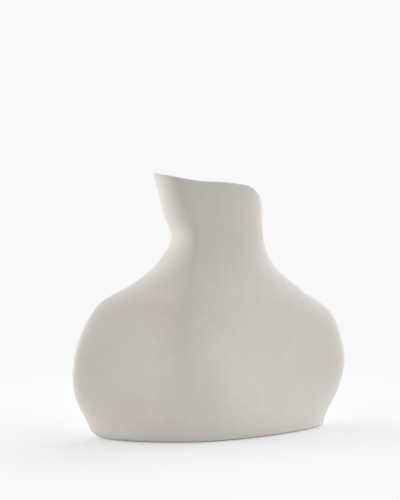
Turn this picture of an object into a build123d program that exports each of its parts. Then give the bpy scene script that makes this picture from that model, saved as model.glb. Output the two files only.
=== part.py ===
"""Pillow vase: two porcelain walls luted with slip along their side seams, on a base slab, glazed inside."""

import os
from bisect import bisect
from collections import namedtuple
from itertools import accumulate
from math import cos, dist, hypot, pi, sin, sqrt

from build123d import *

os.makedirs("parts", exist_ok=True)

# Outer sizes of the fired vase, in millimetres
vase_height = 258.3
belly_width = 284.0
belly_depth = 112.0
neck_width = 100.0
neck_depth = 54.0
foot_width = 232.0
foot_depth = 96.0
edge_thickness = 12.0

# Thicknesses of the clay, of the slip that joins it and of the glaze inside
wall_thickness = 3.5
base_thickness = 6.0
slip_thickness = 0.6
glaze_thickness = 0.4
foot_radius = 1.8

# Rim line: how far it falls from the tip, and the rounded corner at its low end
rim_fall = 12.0
rim_corner_width = 20.5
rim_corner_drop = 21.5
cut_overrun = 60.0

front, back = -1, 1
wall_foot = base_thickness + slip_thickness

# Level sections of the outer skin, as shares of the wall height and of half the width and depth
# that they follow. The powers say how full the curves are: 2 is an ellipse, 1 a straight flank.
# The wing says how far the flanks fall from a rounded column into flat wings with thin edges.
Level = namedtuple(
    "Level",
    "height left right front_crest front_depth back_crest back_depth left_power right_power back_power wing edge",
    defaults=(1.0,),
)
belly_shares = (
    Level(0.000, -0.866, 0.845, -0.106, 0.877, 0.0, 0.866, 1.50, 1.58, 1.6, 0.0),
    Level(0.030, -0.893, 0.864, -0.113, 0.902, 0.0, 0.893, 1.50, 1.58, 1.6, 0.1),
    Level(0.075, -0.932, 0.909, -0.134, 0.933, 0.0, 0.926, 1.48, 1.57, 1.6, 0.27),
    Level(0.133, -0.977, 0.959, -0.170, 0.964, 0.0, 0.961, 1.45, 1.55, 1.6, 0.5),
    Level(0.252, -0.998, 0.999, -0.250, 0.998, 0.0, 1.000, 1.40, 1.55, 1.6, 0.8),
    Level(0.371, -0.948, 0.949, -0.270, 0.964, 0.0, 0.964, 1.35, 1.55, 1.6, 0.8),
    Level(0.470, -0.854, 0.826, -0.250, 0.866, 0.0, 0.862, 1.35, 1.60, 1.6, 0.5),
    Level(0.512, -0.777, 0.710, -0.235, 0.807, 0.0, 0.797, 1.40, 1.65, 1.65, 0.35),
)
neck_shares = (
    Level(0.550, -1.835, 1.750, -0.620, 1.537, 0.0, 1.500, 1.45, 1.70, 1.7, 0.2),
    Level(0.629, -1.246, 1.304, -0.540, 1.278, 0.0, 1.215, 1.70, 1.90, 1.8, 0.0),
    Level(0.693, -0.972, 1.120, -0.485, 1.100, 0.0, 1.030, 1.95, 2.10, 1.9, 0.0),
    Level(0.753, -0.858, 1.045, -0.480, 1.030, 0.0, 0.960, 2.00, 2.15, 2.0, 0.0),
    Level(0.824, -0.980, 1.025, -0.550, 0.990, -0.01, 0.915, 2.00, 2.20, 2.0, 0.0),
    Level(0.907, -1.090, 1.006, -0.660, 0.963, -0.04, 0.852, 2.00, 2.20, 2.0, 0.0),
    Level(1.000, -1.230, 0.996, -0.800, 0.926, -0.07, 0.800, 2.00, 2.10, 2.0, 0.0),
    Level(1.070, -1.320, 0.990, -0.885, 0.905, -0.09, 0.755, 2.00, 2.10, 2.0, 0.0),
    Level(1.140, -1.400, 0.985, -0.965, 0.885, -0.11, 0.715, 2.00, 2.10, 2.0, 0.0),
)
foot_shares = Level(0.0, -0.983, 1.017, -0.130, 1.000, 0.0, 0.990, 1.50, 1.58, 1.6, 0.0)

# Flanks: the width of the column, the sharpness of the edge and the points that a section goes through,
# as shares of its length
column_share = 0.62
column_foot_share = 1 / (1 + 1 / column_share**2)
edge_sharpness = 30
flank_steps = 90
pace_shares = (0.0, 0.02, 0.055, 0.12, 0.20, 0.29, 0.38, 0.47, 0.56, 0.65, 0.74, 0.82, 0.89, 0.945, 0.98, 1.0)

# Rim line: places as shares of half the neck width, falls as shares of the whole fall
rim_shares = ((-1.23, 0.0), (-0.92, 0.235), (-0.40, 0.54), (0.30, 0.74), (0.60, 1.0))
rim_start_slope = (1, -0.25)
rim_end_slope = (1, -0.24)
corner_end_slope = (0.25, -1)


def sized(shares, width, depth):
    """A level section in millimetres."""
    return shares._replace(
        height=wall_foot + shares.height * (vase_height - wall_foot),
        left=shares.left * width / 2,
        right=shares.right * width / 2,
        front_crest=shares.front_crest * width / 2,
        front_depth=shares.front_depth * depth / 2,
        back_crest=shares.back_crest * width / 2,
        back_depth=shares.back_depth * depth / 2,
        edge=shares.edge * edge_thickness / 2,
    )


def inset(levels, distance):
    """The levels with each rail moved inwards by a distance, measured square to that rail."""
    moved = []
    for i, level in enumerate(levels):
        below, above = levels[max(i - 1, 0)], levels[min(i + 1, len(levels) - 1)]
        rise = above.height - below.height

        def step(rail):
            run = getattr(above, rail) - getattr(below, rail)
            return distance * hypot(1, run / rise)

        moved.append(
            level._replace(
                left=level.left + step("left"),
                right=level.right - step("right"),
                front_depth=level.front_depth - step("front_depth"),
                back_depth=level.back_depth - step("back_depth"),
                edge=level.edge - distance,
            )
        )
    return moved


def flank(level, end, crest, depth, power):
    """Fine points of a flank from its end up to its crest."""
    points = []
    for i in range(flank_steps + 1):
        angle = i / flank_steps * pi / 2
        reach = cos(angle) ** (2 / power)
        pillow = depth * sin(angle) ** (2 / power)
        column = (1 / (1 + (reach / column_share) ** 2) - column_foot_share) / (1 - column_foot_share)
        brim = level.edge * sqrt(1 - reach**edge_sharpness)
        winged = brim + column * (depth - brim)
        points.append((crest + (end - crest) * reach, pillow + level.wing * (winged - pillow)))
    return points


def half_points(side, level):
    """Points of a section at fixed shares of its length, from its left end to its right end, and the length."""
    if side == front:
        crest, depth, powers = level.front_crest, level.front_depth, (level.left_power, level.right_power)
    else:
        crest, depth, powers = level.back_crest, level.back_depth, (level.back_power, level.back_power)
    rising = flank(level, level.left, crest, depth, powers[0])
    falling = flank(level, level.right, crest, depth, powers[1])
    trail = rising + falling[-2::-1]
    walked = [0.0, *accumulate(dist(a, b) for a, b in zip(trail, trail[1:]))]
    points = []
    for share in pace_shares:
        i = min(bisect(walked, share * walked[-1]), len(trail) - 1)
        ahead = (share * walked[-1] - walked[i - 1]) / (walked[i] - walked[i - 1])
        across, out = (before + ahead * (after - before) for before, after in zip(trail[i - 1], trail[i]))
        points.append((across, side * out))
    return points, walked[-1]


def half_section(side, level):
    """Face of a section on one side of the seam."""
    points, length = half_points(side, level)
    with BuildSketch(Plane.XY.offset(level.height)) as section:
        with BuildLine():
            curve = Edge.make_spline(
                points,
                tangents=[(0, side * length), (0, -side * length)],
                parameters=pace_shares,
                scale=False,
            )
            add(curve)
            Line(curve @ 0, curve @ 1)
        make_face()
    return section.sketch


def half_sections(side, levels):
    """Faces of one side of a skin, level by level."""
    return [half_section(side, level) for level in levels]


skin = [sized(shares, belly_width, belly_depth) for shares in belly_shares]
skin += [sized(shares, neck_width, neck_depth) for shares in neck_shares]
foot = sized(foot_shares, foot_width, foot_depth)._replace(height=0)
slab_top = skin[0]._replace(height=base_thickness)

# The hollow starts on the base slab, and the glaze lines its walls
cavity = inset(skin, wall_thickness)
cavity[0] = cavity[0]._replace(height=base_thickness)
lining = inset(skin, wall_thickness + glaze_thickness)
lining[0] = lining[0]._replace(height=base_thickness + glaze_thickness)

# Everything above the rim line, which falls from the tip to the rounded corner at the right
rim_points = [(place * neck_width / 2, vase_height - fall * rim_fall) for place, fall in rim_shares]
with BuildPart() as above_rim:
    with BuildSketch(Plane.XZ):
        with BuildLine():
            edge = Spline(*rim_points, tangents=(rim_start_slope, rim_end_slope))
            low = edge @ 1 + Vector(rim_corner_width, -rim_corner_drop)
            corner = Spline(edge @ 1, low, tangents=(rim_end_slope, corner_end_slope))
            start = edge @ 0 - edge % 0 * cut_overrun
            top = vase_height + cut_overrun
            far = low.X + cut_overrun
            Polyline(corner @ 1, (far, low.Y), (far, top), (start.X, top), start, edge @ 0)
        make_face()
    extrude(amount=belly_depth, both=True)

with BuildPart() as front_wall:
    loft(half_sections(front, skin))
    loft(half_sections(front, cavity), mode=Mode.SUBTRACT)
    add(above_rim.part, mode=Mode.SUBTRACT)

# The slip fills the first slice behind the seam plane, and the back wall starts behind it
behind_slip = Plane.XZ.offset(-slip_thickness)
with BuildPart() as back_wall:
    loft(half_sections(back, skin))
    loft(half_sections(back, cavity), mode=Mode.SUBTRACT)
    add(above_rim.part, mode=Mode.SUBTRACT)
    slip_slices = split(bisect_by=behind_slip, keep=Keep.TOP, mode=Mode.PRIVATE).solids().sort_by(Axis.X)
    split(bisect_by=behind_slip, keep=Keep.BOTTOM)

with BuildPart() as left_slip_seam:
    add(slip_slices[0])

with BuildPart() as right_slip_seam:
    add(slip_slices[-1])

with BuildPart() as base_slab:
    for side in (front, back):
        loft(half_sections(side, (foot, slab_top)))
    fillet(base_slab.faces().sort_by(Axis.Z)[0].edges(), foot_radius)

with BuildPart() as base_slip_seam:
    for side in (front, back):
        extrude(half_section(side, slab_top), amount=slip_thickness)
    for side in (front, back):
        loft(half_sections(side, cavity), mode=Mode.SUBTRACT)

with BuildPart() as front_glaze:
    loft(half_sections(front, cavity))
    loft(half_sections(front, lining), mode=Mode.SUBTRACT)
    add(above_rim.part, mode=Mode.SUBTRACT)

with BuildPart() as back_glaze:
    loft(half_sections(back, cavity))
    loft(half_sections(back, lining), mode=Mode.SUBTRACT)
    add(above_rim.part, mode=Mode.SUBTRACT)

with BuildPart() as glaze_lining:
    add(front_glaze.part)
    add(back_glaze.part)

pieces = {
    "front_wall": front_wall,
    "back_wall": back_wall,
    "left_slip_seam": left_slip_seam,
    "right_slip_seam": right_slip_seam,
    "base_slab": base_slab,
    "base_slip_seam": base_slip_seam,
    "glaze_lining": glaze_lining,
}
for name, piece in pieces.items():
    piece.part.label = name
    export_step(piece.part, f"parts/{name}.step")
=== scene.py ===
"""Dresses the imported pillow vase: one smooth porcelain body, its glazed inside, and a pale studio."""

from collections import namedtuple
from math import cos, pi, radians, sin

import bpy
import numpy as np
from bpy.props import FloatProperty, FloatVectorProperty, IntProperty, PointerProperty
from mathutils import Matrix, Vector


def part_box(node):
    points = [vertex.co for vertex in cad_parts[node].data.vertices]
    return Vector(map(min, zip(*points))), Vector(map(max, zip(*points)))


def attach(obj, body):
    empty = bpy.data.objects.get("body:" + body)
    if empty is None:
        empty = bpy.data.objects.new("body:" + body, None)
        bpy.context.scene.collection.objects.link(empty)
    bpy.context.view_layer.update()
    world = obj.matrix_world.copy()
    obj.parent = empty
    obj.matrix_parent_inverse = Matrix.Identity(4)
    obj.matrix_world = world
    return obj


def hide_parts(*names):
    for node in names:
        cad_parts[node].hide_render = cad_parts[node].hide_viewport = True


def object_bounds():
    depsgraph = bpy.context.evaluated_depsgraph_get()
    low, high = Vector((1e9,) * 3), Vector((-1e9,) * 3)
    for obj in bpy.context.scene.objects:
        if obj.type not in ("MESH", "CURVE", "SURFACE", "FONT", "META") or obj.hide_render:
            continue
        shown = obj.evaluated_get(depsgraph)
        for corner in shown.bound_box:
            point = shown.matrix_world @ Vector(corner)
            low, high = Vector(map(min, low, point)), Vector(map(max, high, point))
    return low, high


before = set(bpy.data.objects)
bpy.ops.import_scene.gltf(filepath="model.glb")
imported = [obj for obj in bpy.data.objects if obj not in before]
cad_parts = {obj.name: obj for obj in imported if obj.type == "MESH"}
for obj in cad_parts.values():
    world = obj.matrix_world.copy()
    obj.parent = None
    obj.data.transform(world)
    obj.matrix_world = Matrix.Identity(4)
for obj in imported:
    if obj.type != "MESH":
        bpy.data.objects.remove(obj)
cad_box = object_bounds()

bl_info = {
    "name": "Pillow vase",
    "version": (1, 0, 0),
    "blender": (4, 5, 0),
    "location": "View3D > Sidebar > Vase",
    "description": "Builds a matte porcelain pillow vase with a glazed inside",
    "category": "Add Mesh",
}

# Sizes from the frame. The fired skin is drawn a hair inside the solids' box.
skin_shares = (0.9985, 0.994, 0.9995)
box_sides = zip(*cad_box, skin_shares)
vase_width, vase_depth, vase_height = ((high - low) * share for low, high, share in box_sides)
slip_low, slip_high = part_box("base_slip_seam")
slab_top = slip_low[2]
wall_foot = slip_high[2]

# Level sections of the body, as shares of the wall height and of half the width and depth they follow.
# The powers say how full the curves are: 2 is an ellipse, 1 a straight flank.
# The wing says how far the flanks fall from a rounded column into flat wings with thin edges.
Level = namedtuple(
    "Level",
    "height left right front_crest front_depth back_crest back_depth "
    "left_power right_power back_power wing",
)
belly_shares = (
    Level(0.000, -0.866, 0.845, -0.106, 0.877, 0.0, 0.866, 1.50, 1.58, 1.6, 0.0),
    Level(0.030, -0.893, 0.864, -0.113, 0.902, 0.0, 0.893, 1.50, 1.58, 1.6, 0.1),
    Level(0.075, -0.932, 0.909, -0.134, 0.933, 0.0, 0.926, 1.48, 1.57, 1.6, 0.27),
    Level(0.133, -0.977, 0.959, -0.170, 0.964, 0.0, 0.961, 1.45, 1.55, 1.6, 0.5),
    Level(0.252, -0.998, 0.999, -0.250, 0.998, 0.0, 1.000, 1.40, 1.55, 1.6, 0.8),
    Level(0.371, -0.948, 0.949, -0.270, 0.964, 0.0, 0.964, 1.35, 1.55, 1.6, 0.65),
    Level(0.470, -0.854, 0.826, -0.250, 0.866, 0.0, 0.862, 1.35, 1.60, 1.6, 0.35),
    Level(0.512, -0.777, 0.710, -0.235, 0.807, 0.0, 0.797, 1.40, 1.65, 1.65, 0.25),
)
neck_shares = (
    Level(0.550, -1.835, 1.750, -0.620, 1.537, 0.0, 1.500, 1.45, 1.70, 1.7, 0.2),
    Level(0.629, -1.246, 1.304, -0.540, 1.278, 0.0, 1.215, 1.70, 1.90, 1.8, 0.0),
    Level(0.693, -0.972, 1.120, -0.485, 1.100, 0.0, 1.030, 1.60, 2.10, 1.9, 0.0),
    Level(0.753, -0.858, 1.045, -0.480, 1.030, 0.0, 0.960, 1.60, 2.15, 2.0, 0.0),
    Level(0.824, -0.980, 1.025, -0.550, 0.990, -0.01, 0.915, 1.75, 2.20, 2.0, 0.0),
    Level(0.907, -1.090, 1.006, -0.660, 0.963, -0.04, 0.852, 2.00, 2.20, 2.0, 0.0),
    Level(1.000, -1.230, 0.996, -0.800, 0.926, -0.07, 0.800, 2.00, 2.10, 2.0, 0.0),
    Level(1.070, -1.320, 0.990, -0.885, 0.905, -0.09, 0.755, 2.00, 2.10, 2.0, 0.0),
)
foot_shares = Level(0.0, -0.803, 0.831, -0.106, 0.857, 0.0, 0.849, 1.50, 1.58, 1.6, 0.0)
neck_width_share = 100 / 284
neck_depth_share = 54 / 112

# Flanks: where points lie, how soft the crest is, how wide the column is,
# and how thin and sharp the edge is
point_spacing = 1.3
crest_softness = 0.2
column_share = 0.62
edge_thickness = 0.012
edge_sharpness = 30.0

# Gap under the foot edge: how high it is and how far in the base starts to touch the table
foot_gap = 0.0012
foot_gap_reach = 0.0040

# Rim line: places as shares of half the neck width, falls as shares of the vase height
rim_shares = (
    (-1.40, -0.0120),
    (-1.23, 0.0),
    (-0.92, 0.0124),
    (-0.40, 0.0285),
    (0.05, 0.0325),
    (0.30, 0.0372),
    (0.50, 0.0422),
    (0.62, 0.0458),
    (0.70, 0.0510),
    (0.78, 0.0592),
    (0.85, 0.0705),
    (0.91, 0.0835),
    (0.957, 0.1000),
    (0.993, 0.1180),
    (1.03, 0.1450),
)

# Mesh: rings across the base, steps around the foot edge and over the lip, rounds that find the rim,
# samples of the rails and of the rim line, and how near points are welded
floor_rings, foot_steps, lip_steps = 12, 5, 9
rim_rounds = 4
rail_samples, rim_samples = 81, 121
weld_distance = 1e-6

# Sizes that the node trees take, with the fields of VaseSizes that they come from
measures = {"Vase Height": "height", "Vase Width": "width", "Vase Depth": "depth"}

# Photograph: frame in pixels, focal length in pixels, where the eye level and the vase's axis fall,
# the camera's distance in metres and its sensor in millimetres
image_width, image_height = 400, 500
focal_pixels = 1212
eye_level_row = 173
axis_column = 213
camera_distance = 1.2
sensor_width = 36


class VaseSizes(bpy.types.PropertyGroup):
    """Sizes of the dressed vase"""

    height: FloatProperty(
        name="Height",
        description="Foot to tip",
        default=vase_height,
        unit="LENGTH",
        precision=4,
    )
    width: FloatProperty(
        name="Width",
        description="Belly, side to side",
        default=vase_width,
        unit="LENGTH",
        precision=4,
    )
    depth: FloatProperty(
        name="Depth",
        description="Belly, front to back",
        default=vase_depth,
        unit="LENGTH",
        precision=4,
    )
    wall: FloatProperty(
        name="Wall",
        description="Thickness of the porcelain wall",
        default=0.0035,
        unit="LENGTH",
        precision=4,
    )
    glaze: FloatProperty(
        name="Glaze",
        description="Thickness of the glaze inside",
        default=0.0004,
        unit="LENGTH",
        precision=4,
    )
    foot_radius: FloatProperty(
        name="Foot radius",
        description="Rounding of the foot edge",
        default=0.0012,
        unit="LENGTH",
        precision=4,
    )
    columns: IntProperty(name="Columns", description="Points around a section", default=288)
    rows: IntProperty(name="Rows", description="Points up a wall", default=190)


class VaseFinish(bpy.types.PropertyGroup):
    """Colours of the vase and of its studio"""

    bisque: FloatVectorProperty(
        name="Bisque",
        description="Unglazed porcelain outside",
        default=(0.735, 0.70, 0.672),
        subtype="COLOR",
    )
    glazed: FloatVectorProperty(
        name="Glazed",
        description="Porcelain under the glaze",
        default=(0.75, 0.73, 0.69),
        subtype="COLOR",
    )
    floor: FloatVectorProperty(
        name="Floor",
        description="Studio floor",
        default=(0.895, 0.9, 0.91),
        subtype="COLOR",
    )
    backdrop: FloatVectorProperty(
        name="Backdrop",
        description="Background behind the vase",
        default=(0.94, 0.94, 0.94),
        subtype="COLOR",
    )


def place(tree, kind, *feeds, **settings):
    """A new node with its settings, its inputs fed in order by sockets or plain values."""
    node = tree.nodes.new(kind)
    for name, value in settings.items():
        setattr(node, name, value)
    for socket, feed in zip(node.inputs, feeds):
        if isinstance(feed, bpy.types.NodeSocket):
            tree.links.new(feed, socket)
        elif feed is not None:
            socket.default_value = feed
    return node


def calc(tree, operation, *feeds):
    """Output of a math node."""
    return place(tree, "ShaderNodeMath", *feeds, operation=operation).outputs[0]


def pick(tree, test, otherwise, value):
    """The value where the test is above zero, and otherwise the other one."""
    return place(tree, "GeometryNodeSwitch", test, otherwise, value, input_type="FLOAT").outputs[0]


def along(tree, vector, axis):
    """How far a vector reaches along an axis."""
    return place(tree, "ShaderNodeVectorMath", vector, tuple(axis), operation="DOT_PRODUCT").outputs["Value"]


def scaled(tree, colour, factor):
    """A colour made lighter or darker by a factor."""
    node = place(tree, "ShaderNodeVectorMath", colour, operation="SCALE")
    tree.links.new(factor, node.inputs["Scale"])
    return node.outputs[0]


def new_group(name, inputs, outputs):
    """An empty geometry node group with named float sockets, and its two end nodes."""
    tree = bpy.data.node_groups.new(name, "GeometryNodeTree")
    for socket in inputs:
        tree.interface.new_socket(socket, in_out="INPUT", socket_type="NodeSocketFloat")
    for socket in outputs:
        tree.interface.new_socket(socket, in_out="OUTPUT", socket_type="NodeSocketFloat")
    return tree, tree.nodes.new("NodeGroupInput").outputs, tree.nodes.new("NodeGroupOutput").inputs


def natural_spline(places, values, wanted):
    """Smooth curve through values at given places, read at the wanted places."""
    x, y = np.array(places), np.array(values)
    gap = np.diff(x)
    slope = np.diff(y) / gap
    count = len(x)
    matrix = np.eye(count)
    right = np.zeros(count)
    for i in range(1, count - 1):
        matrix[i, i - 1 : i + 2] = gap[i - 1], 2 * (gap[i - 1] + gap[i]), gap[i]
        right[i] = 6 * (slope[i] - slope[i - 1])
    bend = np.linalg.solve(matrix, right)
    i = np.clip(np.searchsorted(x, wanted) - 1, 0, count - 2)
    a, b = (x[i + 1] - wanted) / gap[i], (wanted - x[i]) / gap[i]
    curved = ((a**3 - a) * bend[i] + (b**3 - b) * bend[i + 1]) * gap[i] ** 2 / 6
    return a * y[i] + b * y[i + 1] + curved


def curve_node(tree, feed, places, values, samples):
    """Float curve that follows a smooth line through values at places from 0 to 1."""
    node = place(tree, "ShaderNodeFloatCurve", 1.0, feed)
    node.mapping.use_clip = False
    points = node.mapping.curves[0].points
    spots = np.linspace(places[0], places[-1], samples)
    heights = natural_spline(places, values, spots)
    for point, k in zip(points, (0, -1)):
        point.location = spots[k], heights[k]
    for spot, height in zip(spots[1:-1], heights[1:-1]):
        points.new(spot, height)
    node.mapping.update()
    return node.outputs[0]


def whole_levels():
    """All level sections as shares of the vase height and of half the belly's width and depth."""
    foot = wall_foot / vase_height
    levels = [foot_shares]
    for row in belly_shares:
        levels.append(row._replace(height=foot + row.height * (1 - foot)))
    for row in neck_shares:
        levels.append(
            row._replace(
                height=foot + row.height * (1 - foot),
                left=row.left * neck_width_share,
                right=row.right * neck_width_share,
                front_crest=row.front_crest * neck_width_share,
                front_depth=row.front_depth * neck_depth_share,
                back_crest=row.back_crest * neck_width_share,
                back_depth=row.back_depth * neck_depth_share,
            )
        )
    return levels


def section_group(name):
    """Node group: a point of the body at a height and a turn, some way in from the outer skin."""
    tree, given, result = new_group(name, ("Height", "Turn", "Inset", *measures), ("X", "Y"))
    turn, inset = given["Turn"], given["Inset"]
    half_width = calc(tree, "MULTIPLY", given["Vase Width"], 0.5)
    half_depth = calc(tree, "MULTIPLY", given["Vase Depth"], 0.5)
    levels = whole_levels()
    top_share = levels[-1].height
    climb = calc(tree, "DIVIDE", given["Height"], calc(tree, "MULTIPLY", given["Vase Height"], top_share))
    places = [level.height / top_share for level in levels]

    def rail(field):
        values = [getattr(level, field) for level in levels]
        return curve_node(tree, climb, places, values, rail_samples)

    def rail_across(field):
        return calc(tree, "MULTIPLY", rail(field), half_width)

    def rail_through(field):
        return calc(tree, "MULTIPLY", rail(field), half_depth)

    across, out = calc(tree, "COSINE", turn), calc(tree, "SINE", turn)
    left_end = calc(tree, "ADD", rail_across("left"), inset)
    right_end = calc(tree, "SUBTRACT", rail_across("right"), inset)
    end = pick(tree, across, left_end, right_end)
    crest = pick(tree, out, rail_across("front_crest"), rail_across("back_crest"))
    bulge = pick(tree, out, rail_through("front_depth"), rail_through("back_depth"))
    depth = calc(tree, "SUBTRACT", bulge, inset)
    front_power = pick(tree, across, rail("left_power"), rail("right_power"))
    power = pick(tree, out, front_power, rail("back_power"))
    reach = calc(tree, "POWER", calc(tree, "ABSOLUTE", across), point_spacing)
    pillow = pillow_flank(tree, reach, power)
    winged = winged_flank(tree, reach, depth)
    swell = calc(tree, "MULTIPLY_ADD", rail("wing"), calc(tree, "SUBTRACT", winged, pillow), pillow)
    span = calc(tree, "SUBTRACT", end, crest)
    tree.links.new(calc(tree, "MULTIPLY_ADD", span, reach, crest), result["X"])
    side = calc(tree, "SIGN", out)
    tree.links.new(calc(tree, "MULTIPLY", calc(tree, "MULTIPLY", depth, swell), side), result["Y"])
    return tree


def pillow_flank(tree, reach, power):
    """Depth share of a plain cushion flank, with its crest softened."""
    soft = crest_softness**2
    squared = calc(tree, "MULTIPLY_ADD", reach, reach, soft)
    half_power = calc(tree, "MULTIPLY", power, 0.5)
    lowest = calc(tree, "POWER", soft, half_power)
    fall = calc(tree, "SUBTRACT", calc(tree, "POWER", squared, half_power), lowest)
    whole = calc(tree, "SUBTRACT", calc(tree, "POWER", 1 + soft, half_power), lowest)
    left_over = calc(tree, "MAXIMUM", calc(tree, "SUBTRACT", 1.0, calc(tree, "DIVIDE", fall, whole)), 0.0)
    return calc(tree, "POWER", left_over, calc(tree, "DIVIDE", 1.0, power))


def winged_flank(tree, reach, depth):
    """Depth share of a flank that falls from a rounded column into a flat wing with a thin edge."""
    edge = calc(tree, "DIVIDE", edge_thickness / 2, depth)
    foot_of_bell = 1 / (1 + 1 / column_share**2)
    squared = calc(tree, "MULTIPLY", calc(tree, "MULTIPLY", reach, reach), 1 / column_share**2)
    bell = calc(tree, "DIVIDE", 1.0, calc(tree, "ADD", squared, 1.0))
    bell = calc(tree, "DIVIDE", calc(tree, "SUBTRACT", bell, foot_of_bell), 1 - foot_of_bell)
    fall = calc(tree, "POWER", reach, edge_sharpness)
    brim = calc(tree, "SQRT", calc(tree, "MAXIMUM", calc(tree, "SUBTRACT", 1.0, fall), 0.0))
    return calc(tree, "MULTIPLY_ADD", edge, calc(tree, "SUBTRACT", brim, bell), bell)


def rim_group(name):
    """Node group: height of the rim line at a place across the neck."""
    tree, given, result = new_group(name, ("X", "Vase Height", "Vase Width"), ("Height",))
    half_neck = calc(tree, "MULTIPLY", given["Vase Width"], neck_width_share / 2)
    low, high = rim_shares[0][0], rim_shares[-1][0]
    across = calc(tree, "DIVIDE", given["X"], half_neck)
    share = calc(tree, "DIVIDE", calc(tree, "SUBTRACT", across, low), high - low)
    places = [(spot - low) / (high - low) for spot, fall in rim_shares]
    heights = [1 - fall for spot, fall in rim_shares]
    line = curve_node(tree, share, places, heights, rim_samples)
    tree.links.new(calc(tree, "MULTIPLY", line, given["Vase Height"]), result["Height"])
    return tree


def built_once(name, build):
    """The node group of this name, built when it is first asked for."""
    return bpy.data.node_groups.get(name) or build(name)


def shell_tree(name, material):
    """Node tree that bends a plain grid of stations into a shell of the vase."""
    section = built_once("Pillow Section", section_group)
    rim = built_once("Slanted Rim", rim_group)
    tree = bpy.data.node_groups.new(name, "GeometryNodeTree")
    tree.interface.new_socket("Geometry", in_out="INPUT", socket_type="NodeSocketGeometry")
    for measure in measures:
        tree.interface.new_socket(measure, in_out="INPUT", socket_type="NodeSocketFloat")
    tree.interface.new_socket("Geometry", in_out="OUTPUT", socket_type="NodeSocketGeometry")
    given = tree.nodes.new("NodeGroupInput").outputs
    result = tree.nodes.new("NodeGroupOutput").inputs
    whole_height, whole_width, whole_depth = (given[measure] for measure in measures)

    def station(attribute):
        return place(tree, "GeometryNodeInputNamedAttribute", attribute, data_type="FLOAT").outputs[0]

    def section_at(height, inset):
        feeds = (height, turn, inset, whole_height, whole_width, whole_depth)
        return place(tree, "GeometryNodeGroup", *feeds, node_tree=section).outputs

    turn, climb, lift = station("turn"), station("climb"), station("lift")
    inset, spread = station("inset"), station("spread")
    rim_height = whole_height
    for _ in range(rim_rounds):
        feeds = (section_at(rim_height, 0.0)["X"], whole_height, whole_width)
        rim_height = place(tree, "GeometryNodeGroup", *feeds, node_tree=rim).outputs[0]
    height = calc(tree, "MULTIPLY_ADD", rim_height, climb, lift)
    point = section_at(height, inset)
    position = place(
        tree,
        "ShaderNodeCombineXYZ",
        calc(tree, "MULTIPLY", point["X"], spread),
        calc(tree, "MULTIPLY", point["Y"], spread),
        height,
    ).outputs[0]
    shaped = place(tree, "GeometryNodeSetPosition", given["Geometry"], None, position).outputs[0]
    merged = tree.nodes.new("GeometryNodeMergeByDistance")
    merged.inputs["Distance"].default_value = weld_distance
    tree.links.new(shaped, merged.inputs["Geometry"])
    smooth = place(tree, "GeometryNodeSetShadeSmooth", merged.outputs[0])
    real = place(tree, "GeometryNodeRealizeInstances", smooth.outputs[0])
    finished = tree.nodes.new("GeometryNodeSetMaterial")
    tree.links.new(real.outputs[0], finished.inputs["Geometry"])
    finished.inputs["Material"].default_value = material
    tree.links.new(finished.outputs[0], result[0])
    return tree


# A ring of points on a shell: its spread from the middle, its climb from the table to the rim as a share,
# and in metres its lift from there and its inset from the outer skin
Station = namedtuple("Station", "spread climb lift inset")


def arc(steps, start, end):
    """Angles of a rounding, ends left out."""
    return np.linspace(start, end, steps + 2)[1:-1]


def station_grid(name, stations, columns):
    """A closed grid whose rows carry the stations and whose columns carry the turn."""
    rows = len(stations)
    turns = np.linspace(0, 2 * pi, columns, endpoint=False)
    faces = []
    for i in range(rows - 1):
        for j in range(columns):
            k = (j + 1) % columns
            faces.append((i * columns + j, i * columns + k, (i + 1) * columns + k, (i + 1) * columns + j))
    mesh = bpy.data.meshes.new(name)
    spots = [(turn, row, 0.0) for row in range(rows) for turn in turns]
    mesh.from_pydata(spots, [], faces)
    values = {"turn": np.tile(turns, rows)}
    for k, field in enumerate(Station._fields):
        values[field] = np.repeat([station[k] for station in stations], columns)
    for field, value in values.items():
        mesh.attributes.new(field, "FLOAT", "POINT").data.foreach_set("value", value.astype(np.float32))
    piece = bpy.data.objects.new(name, mesh)
    bpy.context.scene.collection.objects.link(piece)
    return piece


def shaped_shell(name, stations, material):
    """Runs the shell tree on a grid of stations and keeps its result as a plain mesh."""
    sizes = bpy.context.scene.vase_sizes
    piece = station_grid(name, stations, sizes.columns)
    tree = shell_tree(name, material)
    modifier = piece.modifiers.new("Shape", "NODES")
    modifier.node_group = tree
    for socket in tree.interface.items_tree:
        if socket.name in measures:
            modifier[socket.identifier] = getattr(sizes, measures[socket.name])
    plan = piece.data
    shown = piece.evaluated_get(bpy.context.evaluated_depsgraph_get())
    piece.data = bpy.data.meshes.new_from_object(shown)
    piece.modifiers.clear()
    bpy.data.meshes.remove(plan)
    piece.data.name = name
    for field in ("turn", *Station._fields):
        piece.data.attributes.remove(piece.data.attributes[field])
    return piece


def body_stations(sizes):
    """Underside, foot edge, outer wall, rounded lip, inner wall and inner floor, in that order."""
    edge, lip = sizes.foot_radius, sizes.wall / 2
    edge_top = foot_gap + edge
    rings = np.linspace(0, 1, floor_rings)
    inner_climbs = np.linspace(1, slab_top / sizes.height, sizes.rows // 2)
    foot_angles, lip_angles = arc(foot_steps, 0, pi / 2), arc(lip_steps, 0, pi)
    path = [Station(s, 0, 0, foot_gap_reach) for s in rings]
    path += [Station(1, 0, edge_top - edge * cos(a), edge * (1 - sin(a))) for a in foot_angles]
    path += [Station(1, c, edge_top * (1 - c) - lip * c, 0) for c in np.linspace(0, 1, sizes.rows)]
    path += [Station(1, 1, lip * (sin(a) - 1), lip * (1 - cos(a))) for a in lip_angles]
    path += [Station(1, c, -lip * c, sizes.wall) for c in inner_climbs]
    floor = path[-1]
    path += [floor._replace(spread=s) for s in rings[-2::-1]]
    return path


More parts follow.
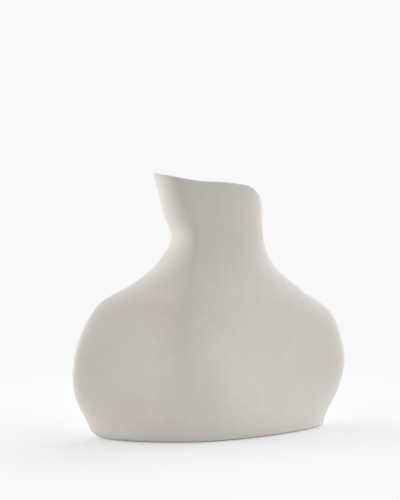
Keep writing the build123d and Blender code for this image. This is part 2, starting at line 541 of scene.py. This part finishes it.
def glaze_stations(sizes):
    """Under the glaze from the middle of the floor to the lip, then back down over its surface."""
    under, over = sizes.wall, sizes.wall + sizes.glaze
    floor = slab_top / sizes.height
    rings = np.linspace(0, 1, floor_rings)
    climbs = np.linspace(floor, 1, sizes.rows // 2)
    path = [Station(s, floor, 0, under) for s in rings[:-1]]
    path += [Station(1, c, -sizes.wall * c, under) for c in climbs]
    path += [Station(1, c, -sizes.wall * c + sizes.glaze * (1 - c), over) for c in climbs[::-1]]
    path += [Station(s, floor, sizes.glaze, over) for s in rings[-2::-1]]
    return path


class PILLOWVASE_OT_body(bpy.types.Operator):
    """Porcelain body: both walls, their seams and the base as one fired skin with a rounded lip"""

    bl_idname = "pillow_vase.body"
    bl_label = "Porcelain body"

    def execute(self, context):
        stations = body_stations(context.scene.vase_sizes)
        body = shaped_shell("porcelain_body", stations, bisque_material())
        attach(body, "root")
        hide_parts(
            "front_wall",
            "back_wall",
            "left_slip_seam",
            "right_slip_seam",
            "base_slab",
            "base_slip_seam",
        )
        return {"FINISHED"}


class PILLOWVASE_OT_glaze(bpy.types.Operator):
    """Glaze lining: the thin glossy coat on the inside of the walls and on the floor"""

    bl_idname = "pillow_vase.glaze"
    bl_label = "Glaze lining"

    def execute(self, context):
        stations = glaze_stations(context.scene.vase_sizes)
        lining = shaped_shell("glaze_coat", stations, glaze_material())
        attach(lining, "root")
        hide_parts("glaze_lining")
        return {"FINISHED"}


def new_material(name, colour, roughness, specular):
    """A plain material, its node tree and its shader."""
    material = bpy.data.materials.new(name)
    material.use_nodes = True
    shader = material.node_tree.nodes["Principled BSDF"]
    shader.inputs["Base Color"].default_value = (*colour, 1)
    shader.inputs["Roughness"].default_value = roughness
    shader.inputs["Specular IOR Level"].default_value = specular
    return material, material.node_tree, shader


# Fired clay: how large its clouds, streaks, pores, grain and specks are, as repeats to the metre,
# how fine they are, how deep each tone is, and how thick and how rare the specks are
cloud_scale, streak_scale, pore_scale, grain_scale, speck_scale = 22.0, 60.0, 170.0, 1500.0, 150.0
cloud_detail, streak_detail, pore_detail, grain_detail = 4.0, 2.0, 3.0, 2.0
cloud_depth, streak_depth, pore_depth, speck_depth = 0.13, 0.05, 0.07, 0.16
streak_stretch = (1.0, 1.0, 0.16)
speck_reach, speck_rarity = 0.07, 0.93
grain_height, grain_strength = 0.0004, 0.18

# Shine of the bare clay and of the glaze
bisque_roughness, bisque_specular = 0.75, 0.3
glaze_roughness, glaze_specular = 0.12, 0.5


def clay_group():
    """Shader group: the uneven tone and the fine grain of fired clay."""
    tree = bpy.data.node_groups.new("Fired Clay", "ShaderNodeTree")
    tree.interface.new_socket("Spot", in_out="INPUT", socket_type="NodeSocketVector")
    tree.interface.new_socket("Colour", in_out="INPUT", socket_type="NodeSocketColor")
    tree.interface.new_socket("Toned Colour", in_out="OUTPUT", socket_type="NodeSocketColor")
    tree.interface.new_socket("Grain", in_out="OUTPUT", socket_type="NodeSocketFloat")
    given = tree.nodes.new("NodeGroupInput").outputs
    result = tree.nodes.new("NodeGroupOutput").inputs

    def noise(spot, scale, detail):
        node = tree.nodes.new("ShaderNodeTexNoise")
        tree.links.new(spot, node.inputs["Vector"])
        node.inputs["Scale"].default_value = scale
        node.inputs["Detail"].default_value = detail
        return calc(tree, "SUBTRACT", node.outputs[0], 0.5)

    spot = given["Spot"]
    upright = place(tree, "ShaderNodeVectorMath", spot, streak_stretch, operation="MULTIPLY").outputs[0]
    pores = noise(spot, pore_scale, pore_detail)
    tone = calc(tree, "MULTIPLY_ADD", noise(spot, cloud_scale, cloud_detail), cloud_depth, 1.0)
    tone = calc(tree, "MULTIPLY_ADD", noise(upright, streak_scale, streak_detail), streak_depth, tone)
    tone = calc(tree, "MULTIPLY_ADD", pores, pore_depth, tone)
    cells = tree.nodes.new("ShaderNodeTexVoronoi")
    tree.links.new(spot, cells.inputs["Vector"])
    cells.inputs["Scale"].default_value = speck_scale
    chance = place(tree, "ShaderNodeSeparateColor", cells.outputs["Color"]).outputs[0]
    near = calc(tree, "LESS_THAN", cells.outputs["Distance"], speck_reach)
    speck = calc(tree, "MULTIPLY", near, calc(tree, "GREATER_THAN", chance, speck_rarity))
    tone = calc(tree, "MULTIPLY_ADD", speck, -speck_depth, tone)
    tree.links.new(scaled(tree, given["Colour"], tone), result["Toned Colour"])
    grain = calc(tree, "ADD", noise(spot, grain_scale, grain_detail), pores)
    tree.links.new(grain, result["Grain"])
    return tree


def bisque_material():
    """Matte unglazed porcelain with a faintly uneven tone."""
    finish = bpy.context.scene.vase_finish
    shine = (bisque_roughness, bisque_specular)
    material, tree, shader = new_material("matte bisque", finish.bisque, *shine)
    spot = tree.nodes.new("ShaderNodeTexCoord").outputs["Object"]
    clay = place(tree, "ShaderNodeGroup", node_tree=clay_group())
    tree.links.new(spot, clay.inputs["Spot"])
    clay.inputs["Colour"].default_value = (*finish.bisque, 1)
    bump = tree.nodes.new("ShaderNodeBump")
    bump.inputs["Strength"].default_value = grain_strength
    bump.inputs["Distance"].default_value = grain_height
    tree.links.new(clay.outputs["Grain"], bump.inputs["Height"])
    tree.links.new(clay.outputs["Toned Colour"], shader.inputs["Base Color"])
    tree.links.new(bump.outputs["Normal"], shader.inputs["Normal"])
    return material


def glaze_material():
    """Clear glaze over white porcelain."""
    finish = bpy.context.scene.vase_finish
    material, _, _ = new_material("clear glaze", finish.glazed, glaze_roughness, glaze_specular)
    return material


class PILLOWVASE_OT_stage(bpy.types.Operator):
    """Pale floor, soft studio light and the photograph's camera"""

    bl_idname = "pillow_vase.stage"
    bl_label = "Studio"

    def execute(self, context):
        scene = context.scene
        finish = scene.vase_finish
        scene.view_settings.view_transform = "Standard"
        mesh = bpy.data.meshes.new("floor")
        corners = [(x * floor_reach, y * floor_reach, 0) for x, y in ((-1, -1), (1, -1), (1, 1), (-1, 1))]
        mesh.from_pydata(corners, [], [(0, 1, 2, 3)])
        floor = bpy.data.objects.new("floor", mesh)
        scene.collection.objects.link(floor)
        mesh.materials.append(floor_material(finish))
        studio_world(scene, finish)
        photo_camera(scene)
        return {"FINISHED"}


# Studio: how far the camera is turned around the vase, how narrow the soft lights are, and the lights,
# each as a direction seen from the camera (right, away, up) and a strength. Light from the camera's
# side is warmer than light from behind the vase, and the two blend between the tint ends.
camera_turn = radians(17)
forward = Vector((sin(camera_turn), cos(camera_turn), 0))
sideways = Vector((cos(camera_turn), -sin(camera_turn), 0))
light_focus = 3.0
soft_lights = (
    ((-1.0, 0.0, 0.15), 3.32),
    ((1.0, 0.0, 0.15), 1.77),
    ((0.55, 0.55, 0.63), 1.93),
)
front_tint, back_tint = (1.0, 0.985, 0.86), (0.995, 1.0, 1.04)
tint_ends = (-0.5, 0.1)

# Floor: its size, where its reflected light fades out towards the camera, where its shadows fade out
# and how far they are lifted, and how much of its light the camera sees
floor_reach = 20.0
bounce_ends = (-1.0, -0.30)
shadow_ends = (0.22, 0.50)
shadow_lift = 0.4
floor_gain = 0.99


def faded(tree, value, low, high):
    """Smooth step of a value from 0 at one end to 1 at the other."""
    node = place(tree, "ShaderNodeMapRange", value, low, high, 0.0, 1.0, interpolation_type="SMOOTHSTEP")
    return node.outputs[0]


def floor_material(finish):
    """White table top that keeps the vase's shadow and fades into the backdrop."""
    material = bpy.data.materials.new("studio floor")
    material.use_nodes = True
    tree = material.node_tree
    tree.nodes.clear()
    spot = tree.nodes.new("ShaderNodeTexCoord").outputs["Object"]
    seen = tree.nodes.new("ShaderNodeLightPath").outputs["Is Camera Ray"]
    bounce = faded(tree, along(tree, spot, forward), *bounce_ends)
    brightness = calc(tree, "MAXIMUM", calc(tree, "MULTIPLY", seen, floor_gain), bounce)
    top = place(tree, "ShaderNodeBsdfDiffuse", scaled(tree, finish.floor, brightness))
    plain = place(tree, "ShaderNodeEmission", (*finish.backdrop, 1), 1.0)
    reach = place(tree, "ShaderNodeVectorMath", spot, operation="LENGTH").outputs["Value"]
    lift = calc(tree, "MAXIMUM", faded(tree, reach, *shadow_ends), shadow_lift)
    share = calc(tree, "MULTIPLY", lift, seen)
    mixed = place(tree, "ShaderNodeMixShader", share, top.outputs[0], plain.outputs[0])
    out = tree.nodes.new("ShaderNodeOutputMaterial")
    tree.links.new(mixed.outputs[0], out.inputs["Surface"])
    return material


def studio_world(scene, finish):
    """World light, and the plain backdrop that the camera sees."""
    world = bpy.data.worlds.new("studio")
    scene.world = world
    world.use_nodes = True
    tree = world.node_tree
    tree.nodes.clear()
    towards = tree.nodes.new("ShaderNodeTexCoord").outputs["Generated"]
    level = 0.0
    for (right, away, up), strength in soft_lights:
        axis = (sideways * right + forward * away + Vector((0, 0, up))).normalized()
        facing = calc(tree, "MAXIMUM", along(tree, towards, axis), 0.0)
        lobe = calc(tree, "POWER", facing, light_focus)
        level = calc(tree, "MULTIPLY_ADD", lobe, strength, level)
    away = along(tree, towards, forward)
    tint = tree.nodes.new("ShaderNodeMix")
    tint.data_type = "VECTOR"
    tree.links.new(faded(tree, away, *tint_ends), tint.inputs["Factor"])
    tint.inputs[4].default_value = front_tint
    tint.inputs[5].default_value = back_tint
    light = place(tree, "ShaderNodeBackground", tint.outputs[1], level)
    seen = place(tree, "ShaderNodeBackground", (*finish.backdrop, 1), 1.0)
    path = tree.nodes.new("ShaderNodeLightPath").outputs
    direct = calc(tree, "MAXIMUM", path["Is Camera Ray"], path["Is Transmission Ray"])
    mixed = place(tree, "ShaderNodeMixShader", direct, light.outputs[0], seen.outputs[0])
    out = tree.nodes.new("ShaderNodeOutputWorld")
    tree.links.new(mixed.outputs[0], out.inputs["Surface"])


def photo_camera(scene):
    """Camera at the photograph's place: eye level at the rim, the vase turned with its left end nearer."""
    lens = bpy.data.cameras.new("photo camera")
    lens.sensor_width = sensor_width
    lens.lens = lens.sensor_width * focal_pixels / image_height
    camera = bpy.data.objects.new("photo camera", lens)
    scene.collection.objects.link(camera)
    camera.location = -forward * camera_distance + Vector((0, 0, vase_height))
    aim = forward + sideways * (image_width / 2 - axis_column) / focal_pixels
    aim.z = (eye_level_row - image_height / 2) / focal_pixels
    camera.rotation_euler = aim.to_track_quat("-Z", "Y").to_euler()
    scene.camera = camera


class PILLOWVASE_PT_sidebar(bpy.types.Panel):
    """Lists the sizes, the finishes and the steps of the vase"""

    bl_label = "Pillow vase"
    bl_idname = "PILLOWVASE_PT_sidebar"
    bl_space_type = "VIEW_3D"
    bl_region_type = "UI"
    bl_category = "Vase"

    def draw(self, context):
        for settings in (context.scene.vase_sizes, context.scene.vase_finish):
            for name in settings.__annotations__:
                self.layout.prop(settings, name)
        for step in (PILLOWVASE_OT_body, PILLOWVASE_OT_glaze, PILLOWVASE_OT_stage):
            self.layout.operator(step.bl_idname)


classes = (
    VaseSizes,
    VaseFinish,
    PILLOWVASE_OT_body,
    PILLOWVASE_OT_glaze,
    PILLOWVASE_OT_stage,
    PILLOWVASE_PT_sidebar,
)


def register():
    for cls in classes:
        bpy.utils.register_class(cls)
    bpy.types.Scene.vase_sizes = PointerProperty(type=VaseSizes)
    bpy.types.Scene.vase_finish = PointerProperty(type=VaseFinish)


def unregister():
    del bpy.types.Scene.vase_finish
    del bpy.types.Scene.vase_sizes
    for cls in reversed(classes):
        bpy.utils.unregister_class(cls)


def main():
    register()
    bpy.ops.pillow_vase.body()
    bpy.ops.pillow_vase.glaze()
    bpy.ops.pillow_vase.stage()


if __name__ == "__main__":
    main()
